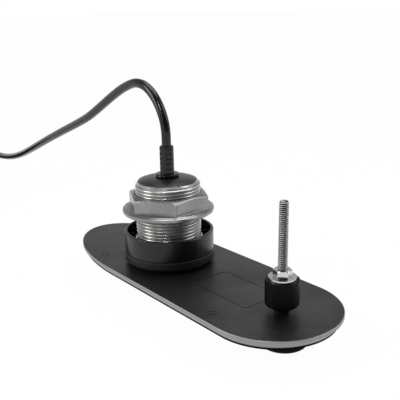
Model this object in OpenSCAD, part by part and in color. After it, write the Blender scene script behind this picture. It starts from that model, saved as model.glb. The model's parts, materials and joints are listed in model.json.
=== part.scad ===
// Flush through-hull sonar transducer: a long round-ended plate with an acoustic pod beneath,
// a threaded stem with its hull nut and spacer, an anti-rotation stud and a coiled lead.
// Origin: centre of the plate in plan, on the flat bottom of the pod. +X runs towards the stud.

/* [Plate] */
// Overall length of the plate
plate_length = 264; // [240:1:300]
// Overall width of the plate
plate_width = 94; // [88:1:110]
// Thickness of the black bedding pad
pad_t = 1.8; // [1.2:0.1:3]
// Bevel along the top edge of the pad
pad_bevel = 0.5; // [0.2:0.1:0.8]
// Thickness of the metal housing plate
housing_t = 4.2; // [3.8:0.1:8]
// How far the housing's edge slopes in towards its underside
housing_taper = 3; // [1:0.1:6]
// Upright land at the top of the housing's edge
housing_land = 0.8; // [0.3:0.1:1.5]
// Depth of the pocket in the housing's underside
pocket_depth = 2.2; // [1.4:0.1:2.6]

/* [Plate marks] */
// Distance from the plate's centre to the near end of the outlined field
field_from = 20.5; // [12:0.5:30]
// Length of the outlined field
field_length = 56; // [40:1:60]
// Width of the outlined field
field_width = 32; // [20:1:50]
// Corner radius of the outlined field
field_corner = 4; // [2:0.5:8]
// Width of an engraved line
engrave_w = 0.6; // [0.4:0.1:1.2]
// Depth of the engraved lines and of the moulding marks
engrave_depth = 0.3; // [0.2:0.1:0.6]
// Diameter of a moulding pin mark
pin_mark_d = 6; // [4:0.5:8]
// Distance of the moulding pin marks from the centre along the plate
pin_mark_x = 67; // [50:1:80]
// Distance of the moulding pin marks from the centre across the plate
pin_mark_y = 36; // [30:1:40]

/* [Acoustic pod] */
// Length of the pod
pod_length = 220; // [200:1:230]
// Width of the pod at its foot
pod_width = 34; // [32:1:44]
// Depth of the pod below its flange
pod_depth = 15; // [14.6:0.1:24]
// How much each side of the pod flares out towards its flange
pod_flare = 1.5; // [0:0.1:4]
// Radius along the pod's bottom edge
pod_round = 4; // [2:0.5:8]
// Wall of the pod and its floor
window_wall = 2.2; // [1.6:0.1:2.4]
// Thickness of the pod's flange
window_flange = 1.4; // [1:0.1:3]
// Margin between the flange and the housing's lower edge
flange_margin = 0.2; // [0:0.1:2]
// Width of the seal between flange and housing
seal_w = 2.2; // [1.5:0.1:4]
// Thickness of that seal
seal_t = 1.2; // [0.8:0.1:2]
// Distance of the seal from the pod's cavity
seal_margin = 6; // [3:0.5:12]

/* [Sonar elements] */
// Length of each element
element_length = 150; // [120:1:160]
// Place of the elements' middle along the plate
element_x = -5; // [-10:1:5]
// Width of a side element
side_w = 8; // [6:0.5:8]
// Thickness of a side element
side_t = 3; // [2:0.5:3]
// Angle of a side element's face below level
side_tilt = 35; // [30:1:40]
// Distance of a side element's middle from the centre line
side_y = 10.9; // [10.8:0.1:11]
// Width of the downward element
down_w = 10; // [6:0.5:10]
// Thickness of the downward element
down_t = 4; // [2:0.5:5]
// Thickness of the backing behind a side element
side_backing_t = 2.5; // [1.5:0.1:2.5]
// Thickness of the backing on the downward element
down_backing_t = 3; // [2:0.5:4]
// Gap filled with potting resin between neighbouring inner pieces
resin_gap = 0.2; // [0.1:0.05:0.3]
// Wall of the element carrier
carrier_wall = 1.6; // [1:0.1:2.5]
// Width of the carrier's keel rib
carrier_rib = 8; // [4:0.5:8]
// End of the carrier towards the stud
carrier_to = 82; // [78:1:84]
// End of the carrier at the far side
carrier_from = -105; // [-106:1:-100]
// Diameter of the temperature probe
probe_d = 4.8; // [3:0.1:6]
// Place of the temperature probe along the plate
probe_x = -95; // [-98:1:-88]

/* [Stem] */
// Place of the stem along the plate
stem_x = -28.5; // [-36:0.5:-22]
// Diameter over the stem's thread, for a hull hole of 51
stem_d = 50; // [44:0.1:51]
// Height of the stem above the plate
stem_h = 63.6; // [58:0.1:80]
// Bore of the stem
stem_bore = 36; // [30:0.5:38]
// Pitch of the thread, 10 turns to the inch
thread_pitch = 2.54; // [1.5:0.01:3]
// Depth of the thread
thread_depth = 1.2; // [0.6:0.1:1.4]
// Bevel at the stem's top edge
stem_bevel = 1.4; // [0.5:0.1:1.6]
// Diameter of the shoulder that seats on the housing's boss
shoulder_d = 53; // [51:0.5:56]
// Height of that shoulder
shoulder_h = 7; // [4:0.5:9]
// Diameter of the spigot screwed into the boss
spigot_d = 42; // [40:0.5:44]
// Height of the boss above the plate
boss_h = 13; // [12:0.5:16]
// Section of the o-ring under the shoulder
stem_ring_d = 1.6; // [1.2:0.1:2]
// Clearance between turned pieces that screw or slide together
turn_clear = 0.1; // [0.05:0.05:0.2]

/* [Hull fittings] */
// How far the hull gasket stands out past the spacer
gasket_lip = 0.5; // [0:0.1:2]
// Height of the gasket above the plate
gasket_h = 9.2; // [8:0.1:12]
// Height of the gasket's undercut foot
gasket_undercut = 3.6; // [2:0.1:5]
// How far the gasket's foot stands in from its outside
gasket_inset = 3; // [1:0.1:4]
// Depth of the round recesses in the pad for gasket and seal
recess_depth = 0.4; // [0.2:0.1:0.8]
// Free width around the gasket and the seal in their recesses
recess_margin = 0.6; // [0.3:0.1:1.5]
// Outer diameter of the hull spacer
spacer_d = 69; // [67:0.5:75]
// Height of the spacer
spacer_h = 16.1; // [12:0.1:24]
// Wall of the spacer's rim
spacer_wall = 2.1; // [1.5:0.1:3]
// Wall of the spacer's skirt round the housing's boss
skirt_wall = 3.5; // [2:0.1:4.5]
// Thickness of the spacer's floor
spacer_floor = 2; // [1.5:0.1:4]
// Number of ribs in the spacer
spacer_ribs = 16; // [8:1:24]
// Thickness of a spacer rib
spacer_rib_t = 1.6; // [1:0.1:2.5]
// Height of the spacer ribs
spacer_rib_h = 5; // [3:0.5:8]
// Free width between the spacer and what it slides over
spacer_clear = 0.5; // [0.2:0.1:1]
// Height of the hull nut's underside above the plate
nut_z = 40; // [34:0.1:44]
// Diameter of the nut's flange
nut_flange_d = 70.4; // [68:0.1:78]
// Thickness of the flange at its edge
nut_edge = 3; // [2:0.1:5]
// Rise of the flange's cone up to the hexagon
nut_cone = 0.8; // [0.5:0.1:4]
// Width of the hexagon across its flats
nut_af = 56; // [53:0.5:62]
// Overall height of the nut
nut_h = 15; // [12:0.5:18]
// Turn of the hexagon about the stem
nut_turn = -26; // [-30:1:30]
// Bevel along the edges of the nut's flange
nut_bevel = 0.6; // [0.2:0.1:1]
// How much of the hexagon's corners is turned off
nut_corner = 0.3; // [0.1:0.1:1]

/* [Cable cap] */
// Diameter of the cap on the stem
cap_d = 44.8; // [42:0.1:46]
// Rise of the cap's crown above the stem
cap_rise = 3.3; // [3:0.1:8]
// Depth of the cap's spigot in the stem
cap_spigot = 9; // [7:0.5:14]
// Section of the o-ring on that spigot
cap_ring_d = 2; // [1.5:0.1:2.5]
// Diameter of the strain relief's collar
collar_d = 18.5; // [16:0.1:24]
// Thickness of that collar
collar_t = 2.5; // [1.5:0.1:4]
// Diameter of the strain relief's sleeve at its foot
relief_d = 10.8; // [10.6:0.1:14]
// Diameter of the sleeve at its tip
relief_tip_d = 10.7; // [10:0.1:13]
// Length of the sleeve above its collar
relief_length = 20.9; // [18:0.1:30]
// Diameter of the stub that plugs into the cap
stub_d = 10; // [9.5:0.1:12]
// Depth of that stub
stub_depth = 6; // [4:0.5:6.5]
// Rows of slots in the sleeve
slot_rows = 5; // [3:1:5]
// Distance between the rows of slots
slot_pitch = 3.8; // [3:0.1:3.9]
// Height of a slot
slot_h = 1.7; // [1:0.1:2.2]
// Sleeve left above the top row of slots
slot_end = 0.7; // [0.6:0.1:1.2]
// Width of the webs between the four slots of a row
slot_web = 3.4; // [1.6:0.1:4]
// Sleeve left at the bottom of a slot
slot_wall = 0.7; // [0.4:0.1:1]
// Turn of the webs about the sleeve
slot_turn = 30; // [0:1:90]
// Length of the lead inside the stem, below the cap
lead_inside = 10; // [5:1:20]

/* [Terminal board] */
// Height of the board in the stem
board_h = 30; // [20:1:32]
// Width of the board
board_w = 28; // [20:0.5:28]
// Thickness of the board
board_t = 1.6; // [1:0.1:2.4]
// Free width between the board and the lead
board_gap = 1; // [0.5:0.1:2]
// Diameter of an element lead
wire_d = 2; // [1:0.1:2.5]
// Distance between element leads
wire_pitch = 5; // [3:0.5:6]

/* [Anti-rotation stud] */
// Place of the stud along the plate
stud_x = 94; // [92:0.5:96]
// Diameter of the stud, a quarter inch
stud_d = 6.35; // [5:0.05:6.4]
// Height of the stud above the plate
stud_h = 74.5; // [50:0.1:90]
// Bevel at the stud's tip
stud_bevel = 0.8; // [0.4:0.1:1.2]
// Width of the stud's head across its flats
stud_head_af = 11.1; // [9:0.1:12]
// Height of the stud's head
stud_head_h = 4; // [3:0.5:5]
// Clearance around the stud
stud_clear = 0.2; // [0.1:0.05:0.4]
// Diameter of the flat seal under the bushing
stud_seal_d = 9.6; // [9:0.1:16]
// Height of the flat seal above the plate
stud_seal_h = 1.2; // [0.6:0.1:2]
// Diameter of the bushing
bushing_d = 22.6; // [19:0.1:26]
// Height of the bushing's top above the plate
bushing_top = 22.8; // [16:0.1:30]
// Height of the bushing's underside above the plate
bushing_foot = 4.4; // [3:0.1:10]
// Radius along the bushing's lower edge
bushing_round = 2.4; // [0.4:0.1:3]
// Bevel along the bushing's top edge
bushing_bevel = 0.4; // [0.2:0.1:1.5]
// Diameter of the washer
washer_d = 18.6; // [14:0.1:19]
// Thickness of the washer
washer_t = 1.6; // [1:0.1:2]
// Width of the stud's nut across its flats
stud_nut_af = 11.1; // [9:0.1:12]
// Height of the stud's nut
stud_nut_h = 5; // [4:0.1:6]
// Bevel round the faces of the stud's nut
stud_nut_bevel = 0.2; // [0.1:0.05:0.5]
// Turn of the stud's nut
stud_nut_turn = 44; // [0:1:60]

/* [Cable] */
// Diameter of the lead
cable_d = 7.2; // [6.4:0.1:7.4]
// Turns of the coil beside each other
coil_columns = 4; // [3:1:5]
// Turns of the coil on top of each other
coil_layers = 6; // [3:1:7]
// Diameter of the coil at the middle of its turns
coil_d = 80; // [70:0.1:90]
// Thickness of the coil's tie
tie_t = 1.2; // [0.8:0.1:2]
// Arc of the coil that the tie covers
tie_arc = 16; // [10:1:25]
// Place of the tie around the coil
tie_at = 185; // [170:1:260]

/* [Connector] */
// Diameter of the locking collar
lock_d = 18; // [17.4:0.1:19]
// Length of the locking collar
lock_length = 16; // [12:0.5:22]
// Number of grip flutes on the collar
lock_flutes = 12; // [8:1:18]
// Diameter of the connector's body
plug_d = 16; // [15:0.1:17]
// Length of the body behind the collar
plug_length = 20; // [16:0.5:30]
// Length of the boot
boot_length = 28; // [20:1:40]
// Diameter of the boot where the lead enters
boot_tip_d = 9.6; // [9:0.1:11]
// Diameter of the contact insert
insert_d = 12; // [10:0.1:13]
// Number of contact pins on the outer ring
pin_count = 7; // [5:1:9]
// Diameter of a contact pin
pin_d = 1.2; // [0.8:0.1:1.6]
// Length of a contact pin
pin_length = 4.5; // [3:0.1:5]

/* [Hidden] */
$fn = 96;
plate_r = plate_width/2;
plate_a = (plate_length - plate_width)/2;
z_flange = pod_depth;
z_housing = z_flange + window_flange;
z_pad = z_housing + housing_t;
deck = z_pad + pad_t;
z_pocket = z_housing + pocket_depth;
pod_r = pod_width/2;
pod_a = pod_length/2 - pod_r;
cavity_r = pod_r - window_wall;
flange_r = plate_r - housing_taper - flange_margin;
seal_r = cavity_r + seal_margin;
stem_r = stem_d/2;
skirt_r = spacer_d/2 - skirt_wall;
boss_r = skirt_r - spacer_clear;
boss_top = deck + boss_h;
gasket_r = spacer_d/2 + gasket_lip;
shoulder_top = boss_top + shoulder_h;
stem_top = deck + stem_h;
ring_track = (shoulder_d + spigot_d)/4;
recess_z = deck - recess_depth;
boss_fit = boss_r + turn_clear;
cable_r = cable_d/2;
cap_top = stem_top + cap_rise;
cap_foot = stem_top - cap_spigot;
relief_foot = cap_top + collar_t;
relief_top = relief_foot + relief_length;
lead_fit = cable_r + 0.05;
carrier_low = window_wall + resin_gap + down_t + down_backing_t;
side_n = [cos(side_tilt), -sin(side_tilt)];
side_z = window_wall + resin_gap + (side_w*cos(side_tilt) + side_t*sin(side_tilt))/2;
backing_shift = (side_t + side_backing_t)/2;
backing_top = side_z + backing_shift*sin(side_tilt)
    + (side_w*cos(side_tilt) + side_backing_t*sin(side_tilt))/2;
carrier_floor = backing_top + resin_gap;
carrier_r = cavity_r - resin_gap;
board_x = stem_x + cable_r + board_gap;
bushing_r = bushing_d/2;
washer_z = deck + bushing_top;
stud_nut_z = washer_z + washer_t;
coil_w = coil_columns*cable_d;
coil_h = coil_layers*cable_d;
coil_outer = coil_d/2 + coil_w/2;
coil_at = [-415, -42];
plug_y = -100.1;
plug_z = 9.1;
boot_x = -369;
plug_x = boot_x + boot_length;
lock_x = plug_x + plug_length;
insert_x = lock_x + lock_length - pin_length - 1;
// Centre line of the free lead, from the strain relief to the coil
lead_route = [
    [-28.5, 0, 112.7], [-28.5, 0, 119], [-29, 0, 125], [-30.5, 0, 131], [-33, 0, 136.5],
    [-36.5, 0, 142], [-41, 0, 147], [-46.5, 0, 151.3], [-53, 0, 154.6], [-60, 0, 156.2],
    [-67.5, 0, 156.2], [-76, 0, 154.2], [-88, 0, 149.8], [-102, 0, 143.2], [-117, 0, 135.4],
    [-132, 0, 127.5], [-147, 0, 120.2], [-163, 0, 113.8], [-180, 0, 107.4], [-196, 0, 101.6],
    [-212, 0, 95.6], [-230, 0, 88.8],
    [-248, 0.4, 81.9], [-266, 1.4, 75.2], [-284, 3, 68.8], [-302, 5.1, 62.8], [-320, 7.4, 57.4],
    [-338, 9.7, 52.5], [-355, 11.8, 48.5], [-371, 13.6, 45.3], [-386, 15, 42.9], [-399, 15.8, 41.4],
    [-408, 16.1, 40.9], [-415, 16.1, 40.8]
];
// Centre line of the lead's end, from the coil to the connector
end_route = [
    [-415, -100.1, 3.8], [-406, -100.1, 3.9], [-397, -100.1, 4.9], [-388, -100.1, 6.9],
    [-379, -100.1, 8.7], [-373, -100.1, 9.1], [-369, -100.1, 9.1]
];

// A quarter circle of points about a centre, from one angle to another
function arc(centre, radius, from, to, steps = 6) =
    [for (k = [0:steps]) let (a = from + (to - from)*k/steps) centre + radius*[cos(a), sin(a)]];

// Outline with straight sides and round ends
module pill(half_width, half_length) {
    straight = half_length - half_width;
    square([2*straight, 2*half_width], center = true);
    for (side = [-1, 1]) translate([side*straight, 0]) circle(half_width);
}

module pill_block(half_width, half_length, z, height) {
    translate([0, 0, z]) linear_extrude(height) pill(half_width, half_length);
}

// A radius and height profile carried along a straight stretch and round both ends
module pill_revolve(straight, profile) {
    for (side = [-1, 1]) translate([side*straight, 0, 0]) rotate_extrude() polygon(profile);
    translate([-straight, 0, 0]) rotate([90, 0, 90]) linear_extrude(2*straight) {
        polygon(profile);
        mirror([1, 0]) polygon(profile);
    }
}

module round_rect(length, width, corner) {
    square([length - 2*corner, width], center = true);
    square([length, width - 2*corner], center = true);
    for (sx = [-1, 1], sy = [-1, 1])
        translate([sx*(length/2 - corner), sy*(width/2 - corner)]) circle(corner);
}

module at_stem(z = 0) { translate([stem_x, 0, z]) children(); }

module at_stud(z = 0) { translate([stud_x, 0, z]) children(); }

module o_ring(track, section) { rotate_extrude() translate([track, 0]) circle(section/2, $fn = 32); }

module hexagon(af, height) { cylinder(r = af/2/cos(30), h = height, $fn = 6); }

// Hexagon with its upper and lower corners turned off to a cone
module bevelled_hexagon(af, height, turn, bevel) {
    inner = af/2 - bevel;
    outer = af/2/cos(30) + bevel;
    drop = (outer - inner)*tan(30);
    intersection() {
        rotate(turn) hexagon(af, height);
        rotate_extrude() polygon([
            [0, 0], [inner, 0], [outer, drop], [outer, height - drop], [inner, height], [0, height]
        ]);
    }
}

// A tube of twelve sides along a route that keeps close to an upright plane
module lead_tube(route, radius, sides = 12) {
    last = len(route) - 1;
    function along(i) = let (d = route[min(i + 1, last)] - route[max(i - 1, 0)]) d/norm(d);
    function across(i) = let (c = cross([0, 1, 0], along(i))) c/norm(c);
    rings = [for (i = [0:last]) let (n = across(i), b = cross(along(i), n))
        for (k = [0:sides - 1]) let (a = 360*k/sides) route[i] + radius*(cos(a)*n + sin(a)*b)];
    walls = [for (i = [0:last - 1], k = [0:sides - 1]) let (j = (k + 1) % sides)
        [i*sides + k, (i + 1)*sides + k, (i + 1)*sides + j, i*sides + j]];
    ends = [[for (k = [0:sides - 1]) k], [for (k = [sides - 1:-1:0]) last*sides + k]];
    polyhedron(rings, concat(walls, ends));
}

// Black bedding pad moulded over the housing's top
module top_pad() color([0.09, 0.09, 0.09]) difference() {
    pill_revolve(plate_a, [
        [0, z_pad], [plate_r, z_pad], [plate_r, deck - pad_bevel], [plate_r - pad_bevel, deck], [0, deck]
    ]);
    at_stem(z_pad - 1) cylinder(r = boss_fit, h = pad_t + 2);
    at_stem(recess_z) cylinder(r = gasket_r + recess_margin, h = pad_t);
    at_stud(z_pad - 1) cylinder(d = stud_d + 2*stud_clear, h = pad_t + 2);
    at_stud(recess_z) cylinder(d = stud_seal_d + 2*recess_margin, h = pad_t);
    translate([field_from + field_length/2, 0, deck - engrave_depth]) linear_extrude(pad_t) difference() {
        round_rect(field_length, field_width, field_corner);
        round_rect(field_length - 2*engrave_w, field_width - 2*engrave_w, field_corner - engrave_w);
    }
    for (sx = [-1, 1], sy = [-1, 1])
        translate([sx*pin_mark_x, sy*pin_mark_y, deck - engrave_depth]) linear_extrude(pad_t) difference() {
            circle(d = pin_mark_d);
            circle(d = pin_mark_d - 2*engrave_w);
        }
}

// Metal plate with a sloping edge, the stem's boss and a pocket over the pod
module housing_plate() color([0.62, 0.62, 0.63]) difference() {
    union() {
        pill_revolve(plate_a, [
            [0, z_housing], [plate_r - housing_taper, z_housing], [plate_r, z_pad - housing_land],
            [plate_r, z_pad], [0, z_pad]
        ]);
        at_stem(z_pad - 1) cylinder(r = boss_r, h = boss_top - z_pad + 1);
    }
    pill_block(cavity_r, pod_a + cavity_r, z_housing - 1, pocket_depth + 1);
    at_stem(z_housing) cylinder(d = spigot_d + 2*turn_clear, h = boss_top);
    at_stem(boss_top - stem_ring_d) difference() {
        cylinder(r = ring_track + stem_ring_d*0.6, h = stem_ring_d + 1);
        translate([0, 0, -1]) cylinder(r = ring_track - stem_ring_d*0.6, h = stem_ring_d + 3);
    }
    at_stud(z_housing) cylinder(d = stud_d + 2*stud_clear, h = housing_t + 1);
    difference() {
        pill_block(seal_r + seal_w, pod_a + seal_r + seal_w, z_housing - 1, seal_t + 1);
        pill_block(seal_r, pod_a + seal_r, z_housing - 2, seal_t + 3);
    }
}

// Pod and flange moulded in one piece of sound-clear resin, open towards the housing
module acoustic_window() color([0.06, 0.06, 0.065]) difference() {
    union() {
        pill_block(flange_r, plate_a + flange_r, z_flange, window_flange);
        pill_revolve(pod_a, concat(
            [[0, 0]], arc([pod_r - pod_round, pod_round], pod_round, -90, 0),
            [[pod_r + pod_flare, z_flange], [pod_r + pod_flare, z_flange + window_flange/2],
            [0, z_flange + window_flange/2]]
        ));
    }
    pill_block(cavity_r, pod_a + cavity_r, window_wall, z_housing);
}

module window_seal() color([0.1, 0.1, 0.1]) difference() {
    pill_block(seal_r + seal_w, pod_a + seal_r + seal_w, z_housing, seal_t);
    pill_block(seal_r, pod_a + seal_r, z_housing - 1, seal_t + 2);
}

// Tray that hangs under the housing and holds the elements, with a keel rib on the downward one
module element_carrier() color([0.75, 0.72, 0.62]) {
    length = carrier_to - carrier_from;
    end_r = carrier_r - carrier_wall;
    difference() {
        union() {
            intersection() {
                pill_block(carrier_r, pod_a + carrier_r, carrier_floor, z_pocket - carrier_floor);
                translate([carrier_from, -carrier_r, 0]) cube([length, 2*carrier_r, z_pocket]);
            }
            translate([element_x - element_length/2, -carrier_rib/2, carrier_low])
                cube([element_length, carrier_rib, carrier_floor + carrier_wall - carrier_low]);
        }
        intersection() {
            pill_block(end_r, pod_a + end_r, carrier_floor + carrier_wall, z_pocket);
            translate([carrier_from + carrier_wall, -carrier_r, 0])
                cube([length - 2*carrier_wall, 2*carrier_r, 2*z_pocket]);
        }
        translate([probe_x, 0, 0]) cylinder(d = probe_d + 2*turn_clear, h = z_pocket);
    }
}

// A bar lying along the plate, set by its middle and turned about its length
module tilted_bar(side, middle, thickness) {
    translate([element_x, side*middle[0], middle[1]]) rotate([-side*side_tilt, 0, 0])
        cube([element_length, thickness, side_w], center = true);
}

module side_element(side) { tilted_bar(side, [side_y, side_z], side_t); }

module side_backing(side) { tilted_bar(side, [side_y, side_z] - backing_shift*side_n, side_backing_t); }

module port_element() color([0.8, 0.78, 0.7]) side_element(1);

module starboard_element() color([0.8, 0.78, 0.7]) side_element(-1);

module port_backing() color([0.35, 0.3, 0.25]) side_backing(1);

module starboard_backing() color([0.35, 0.3, 0.25]) side_backing(-1);

module down_element() color([0.8, 0.78, 0.7])
    translate([element_x - element_length/2, -down_w/2, window_wall + resin_gap])
        cube([element_length, down_w, down_t]);

module down_backing() color([0.35, 0.3, 0.25])
    translate([element_x - element_length/2, -down_w/2, window_wall + resin_gap + down_t])
        cube([element_length, down_w, down_backing_t]);

module temperature_probe() color([0.75, 0.6, 0.3])
    translate([probe_x, 0, window_wall])
        cylinder(d = probe_d, h = carrier_floor + 2*carrier_wall - window_wall);

module element_leads() color([0.5, 0.1, 0.1])
    for (k = [-1:1])
        translate([board_x - wire_d/2, k*wire_pitch, carrier_floor + carrier_wall])
            cylinder(d = wire_d, h = cap_foot - board_h + 4 - carrier_floor - carrier_wall, $fn = 32);

module terminal_board() color([0.1, 0.35, 0.15])
    translate([board_x, -board_w/2, cap_foot - board_h]) cube([board_t, board_w, board_h]);

// Turned tube: a spigot in the boss, a shoulder that seats on it and a thread up to the cap
module stem() color([0.75, 0.75, 0.74]) {
    root = stem_r - thread_depth;
    crest = thread_pitch/8;
    thread_low = shoulder_top + thread_pitch/2;
    turns = floor((stem_top - stem_bevel - thread_low)/thread_pitch);
    grooves = [for (k = [0:turns - 1], p = [[stem_r, crest/2], [root, (thread_pitch - crest)/2],
        [root, (thread_pitch + crest)/2], [stem_r, thread_pitch - crest/2]])
        [p[0], thread_low + k*thread_pitch + p[1]]];
    at_stem() rotate_extrude() polygon(concat(
        [[stem_bore/2, z_pocket], [spigot_d/2, z_pocket], [spigot_d/2, boss_top],
        [shoulder_d/2, boss_top], [shoulder_d/2, shoulder_top - stem_bevel/2],
        [shoulder_d/2 - stem_bevel/2, shoulder_top], [stem_r, shoulder_top]],
        grooves,
        [[stem_r, stem_top - stem_bevel], [stem_r - stem_bevel, stem_top], [stem_bore/2, stem_top]]
    ));
}

module stem_o_ring() color([0.05, 0.05, 0.05])
    at_stem(boss_top - stem_ring_d/2) o_ring(ring_track, stem_ring_d);

// Rubber ring round the boss with an undercut foot
module hull_gasket() color([0.06, 0.06, 0.06]) at_stem() rotate_extrude() polygon([
    [boss_fit, recess_z], [gasket_r - gasket_inset, recess_z], [gasket_r, deck + gasket_undercut],
    [gasket_r, deck + gasket_h - pad_bevel], [gasket_r - pad_bevel, deck + gasket_h],
    [boss_fit, deck + gasket_h]
]);

// Cup that slides over the stem's shoulder, with a skirt round the boss and ribs in its floor
module hull_spacer() color([0.07, 0.07, 0.07]) at_stem() {
    low = deck + gasket_h;
    high = low + spacer_h;
    floor_low = boss_top + turn_clear;
    floor_high = floor_low + spacer_floor;
    bore = shoulder_d/2 + spacer_clear;
    rim = spacer_d/2 - spacer_wall;
    rotate_extrude() polygon([
        [skirt_r, low], [spacer_d/2 - pad_bevel, low], [spacer_d/2, low + pad_bevel],
        [spacer_d/2, high - pad_bevel], [spacer_d/2 - pad_bevel, high], [rim, high], [rim, floor_high],
        [bore, floor_high], [bore, floor_low], [skirt_r, floor_low]
    ]);
    for (k = [0:spacer_ribs - 1]) rotate(360*k/spacer_ribs)
        translate([bore + spacer_clear, -spacer_rib_t/2, floor_high - spacer_floor/2])
            cube([rim - bore, spacer_rib_t, spacer_rib_h + spacer_floor/2]);
}

// One-piece hexagon nut with a wide coned flange
module hull_nut() color([0.6, 0.6, 0.58]) {
    flange = nut_flange_d/2;
    at_stem(deck + nut_z) difference() {
        union() {
            rotate_extrude() polygon([
                [0, 0], [flange - nut_bevel, 0], [flange, nut_bevel], [flange, nut_edge - nut_bevel],
                [flange - nut_bevel, nut_edge], [nut_af/2, nut_edge + nut_cone], [0, nut_edge + nut_cone]
            ]);
            intersection() {
                rotate(nut_turn) hexagon(nut_af, nut_h);
                cylinder(r = nut_af/2/cos(30) - nut_corner, h = nut_h);
            }
        }
        translate([0, 0, -1]) cylinder(r = stem_r + turn_clear, h = nut_h + 2);
    }
}

// Crowned cap plugged into the stem's bore, with a seat for the strain relief
module stem_cap() color([0.07, 0.07, 0.07]) {
    edge = cap_d/2;
    spigot = stem_bore/2 - turn_clear;
    groove_low = cap_foot + cap_spigot/2 - cap_ring_d*0.6;
    groove_high = groove_low + cap_ring_d*1.2;
    land = edge/40;
    crown = [for (k = [0:12]) let (r = edge + (stub_d/2 - edge)*k/12)
        [r, stem_top + land + (cap_rise - land)*(1 - pow((r - stub_d/2)/(edge - stub_d/2), 2.5))]];
    at_stem() rotate_extrude() polygon(concat(
        [[lead_fit, cap_foot], [spigot, cap_foot], [spigot, groove_low], [spigot - cap_ring_d, groove_low],
        [spigot - cap_ring_d, groove_high], [spigot, groove_high], [spigot, stem_top], [edge, stem_top]],
        crown,
        [[stub_d/2, cap_top - stub_depth], [lead_fit, cap_top - stub_depth]]
    ));
}

module cap_o_ring() color([0.05, 0.05, 0.05])
    at_stem(cap_foot + cap_spigot/2) o_ring((stem_bore - cap_ring_d)/2, cap_ring_d);

// Collar, stub and slotted sleeve moulded round the lead
module strain_relief() color([0.06, 0.06, 0.06]) at_stem() difference() {
    rotate_extrude() polygon(concat(
        [[lead_fit, cap_top - stub_depth], [stub_d/2, cap_top - stub_depth], [stub_d/2, cap_top]],
        arc([collar_d/2 - collar_t/2, cap_top + collar_t/2], collar_t/2, -90, 90),
        [[relief_d/2, relief_foot], [relief_tip_d/2, relief_top - pad_bevel],
        [relief_tip_d/2 - pad_bevel, relief_top], [lead_fit, relief_top]]
    ));
    for (row = [0:slot_rows - 1])
        translate([0, 0, relief_top - slot_end - row*slot_pitch - slot_h]) rotate(slot_turn) difference() {
            cylinder(d = relief_d + 2, h = slot_h);
            translate([0, 0, -1]) cylinder(r = lead_fit + slot_wall, h = slot_h + 2);
            for (side = [0, 90]) rotate(side)
                translate([-relief_d, -slot_web/2, -1]) cube([2*relief_d, slot_web, slot_h + 2]);
        }
}

// The lead's straight stretch through the strain relief and cap into the stem
module lead_core() color([0.08, 0.08, 0.08])
    at_stem(cap_foot - lead_inside) cylinder(r = cable_r, h = relief_top - cap_foot + lead_inside);

module cable() color([0.08, 0.08, 0.08]) lead_tube(lead_route, cable_r);

module cable_coil() color([0.08, 0.08, 0.08])
    translate([coil_at[0], coil_at[1], tie_t + coil_h/2])
        rotate_extrude() translate([coil_d/2, 0]) round_rect(coil_w, coil_h, cable_r);

// Strap closed round the coil's turns
module coil_tie() color([0.12, 0.12, 0.12])
    translate([coil_at[0], coil_at[1], tie_t + coil_h/2]) rotate(tie_at - tie_arc/2)
        rotate_extrude(angle = tie_arc) translate([coil_d/2, 0]) difference() {
            round_rect(coil_w + 2*tie_t, coil_h + 2*tie_t, cable_r + tie_t);
            round_rect(coil_w, coil_h, cable_r);
        }

module cable_end() color([0.08, 0.08, 0.08]) lead_tube(end_route, cable_r);

// Places a profile of radius and length along the connector's axis
module on_plug_axis(x) { translate([x, plug_y, plug_z]) rotate([0, 90, 0]) children(); }

// Ribbed boot that tapers down to the lead
module connector_boot() color([0.06, 0.06, 0.06]) {
    ribs = 5;
    rib = boot_length/(2*ribs + 2);
    slope = (plug_d - boot_tip_d)/2/boot_length;
    steps = [for (k = [0:ribs - 1], p = [[0, 0], [0, 1], [-pad_bevel, 1], [-pad_bevel, 2]])
        let (z = rib + (2*k + p[1])*rib) [boot_tip_d/2 + slope*z + p[0], z]];
    on_plug_axis(boot_x) rotate_extrude() polygon(concat(
        [[0, 0], [boot_tip_d/2 - pad_bevel, 0]], steps, [[plug_d/2, boot_length], [0, boot_length]]
    ));
}

module connector_body() color([0.08, 0.08, 0.08]) on_plug_axis(plug_x) rotate_extrude() polygon([
    [0, 0], [plug_d/2, 0], [plug_d/2, plug_length], [insert_d/2, plug_length],
    [insert_d/2, insert_x - plug_x - 2], [0, insert_x - plug_x - 2]
]);

module connector_insert() color([0.2, 0.2, 0.2]) on_plug_axis(insert_x - 2) cylinder(d = insert_d, h = 2);

module connector_pins() color([0.8, 0.65, 0.3]) on_plug_axis(insert_x) {
    cylinder(d = pin_d, h = pin_length, $fn = 24);
    for (k = [0:pin_count - 1]) rotate(360*k/pin_count) translate([insert_d/2 - 2*pin_d, 0, 0])
        cylinder(d = pin_d, h = pin_length, $fn = 24);
}

// Ring that locks the connector, with grip flutes round its outside
module connector_collar() color([0.1, 0.1, 0.1]) on_plug_axis(lock_x) difference() {
    rotate_extrude() polygon([
        [insert_d/2 + turn_clear, 0], [lock_d/2 - pad_bevel, 0], [lock_d/2, pad_bevel],
        [lock_d/2, lock_length - pad_bevel], [lock_d/2 - pad_bevel, lock_length],
        [insert_d/2 + turn_clear, lock_length]
    ]);
    for (k = [0:lock_flutes - 1]) rotate(360*k/lock_flutes) translate([lock_d/2 + pin_d/2, 0, 2])
        cylinder(d = 2*pin_d, h = lock_length - 4, $fn = 24);
}

// Bolt passed up through the housing, with its head in the pocket
module stud() color([0.78, 0.78, 0.76]) at_stud() {
    translate([0, 0, z_pocket - stud_head_h]) hexagon(stud_head_af, stud_head_h);
    rotate_extrude() polygon([
        [0, z_pocket - stud_head_h/2], [stud_d/2, z_pocket - stud_head_h/2],
        [stud_d/2, deck + stud_h - stud_bevel], [stud_d/2 - stud_bevel, deck + stud_h], [0, deck + stud_h]
    ]);
}

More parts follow.
